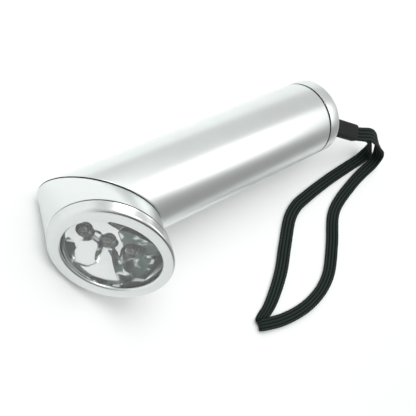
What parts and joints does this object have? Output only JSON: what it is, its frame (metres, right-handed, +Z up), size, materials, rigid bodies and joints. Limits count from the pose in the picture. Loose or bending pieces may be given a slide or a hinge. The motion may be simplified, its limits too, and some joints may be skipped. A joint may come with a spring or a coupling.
{
  "type": "hand crank flashlight",
  "caption": "Metal hand crank torch: a round tube whose angled head swivels on a slanted cut and drives a generator, with white lamps behind a clear window and a wrist strap.",
  "frame": {"origin": "middle of the torch's base on the floor, below its bounding box without the strap", "axes": "+X along the tube towards the tail, +Z up, the head bent towards -Y and up"},
  "size_m": [0.1878, 0.0995, 0.0457],
  "materials": {
    "silver": "satin anodised",
    "steel": "plain",
    "brass": "turned",
    "chrome": "metallised plastic",
    "clear": "clear and polished",
    "led": "clear moulded",
    "rubber": "matt",
    "braid": "flat braid",
    "nylon": "moulded",
    "board": "solder mask",
    "copper": "wound copper",
    "magnet": "sintered",
    "cell": "gloss jacket"
  },
  "bodies": {
    "body": {"body_tube": "silver", "tail_cap": "silver", "thrust_washer": "nylon", "bearing_plate": "steel", "swivel_bush": "brass", "plate_post_1": "steel", "plate_post_2": "steel", "gear_plate": "steel", "first_axle": "steel", "second_axle": "steel", "stator_cup": "steel", "stator_coil": "copper", "rectifier_board": "board", "cell_holder": "nylon", "cell_1": "cell", "cell_2": "cell", "cell_3": "cell", "contact_spring": "steel", "switch_board": "board", "switch_module": "magnet", "tail_seal": "rubber", "strap_stud": "steel", "strap_sleeve": "rubber", "wrist_strap": "braid"},
    "head": {"head_shell": "silver", "bezel_ring": "silver", "lens": "clear", "lens_gasket": "rubber", "reflector": "chrome", "led_1": "led", "led_2": "led", "led_3": "led", "led_board": "board", "swivel_plate": "steel", "swivel_shaft": "steel", "drive_gear": "nylon", "retaining_clip": "steel"},
    "first_gear": {"first_gear": "nylon"},
    "second_gear": {"second_gear": "nylon"},
    "rotor": {"rotor_shaft": "brass", "rotor_magnet": "magnet"},
    "button": {"switch_button": "silver"}
  },
  "joints": [
    {"name": "head_swivel", "type": "hinge", "parent": "body", "child": "head", "pos_m": [-0.05561, 0.00858, 0.015], "axis": [-0.7071, -0.588, 0.3927], "continuous": true},
    {"name": "first_gear_spin", "type": "hinge", "parent": "body", "child": "first_gear", "pos_m": [-0.04642, 0.00094, 0.02011], "axis": [-0.7071, -0.588, 0.3927], "continuous": true},
    {"name": "second_gear_spin", "type": "hinge", "parent": "body", "child": "second_gear", "pos_m": [-0.05384, 0.00711, 0.01598], "axis": [-0.7071, -0.588, 0.3927], "continuous": true},
    {"name": "rotor_spin", "type": "hinge", "parent": "body", "child": "rotor", "pos_m": [-0.04642, 0.00094, 0.02011], "axis": [-0.7071, -0.588, 0.3927], "continuous": true},
    {"name": "switch_press", "type": "slide", "parent": "body", "child": "button", "axis": [-1, 0, 0], "range_m": [0, 0.0012], "stiffness_N_per_m": 300}
  ],
  "couplings": [
    {"joint": "first_gear_spin", "follows": "head_swivel", "ratio": -3.3333},
    {"joint": "second_gear_spin", "follows": "head_swivel", "ratio": 8.3333},
    {"joint": "rotor_spin", "follows": "head_swivel", "ratio": -20.833}
  ]
}
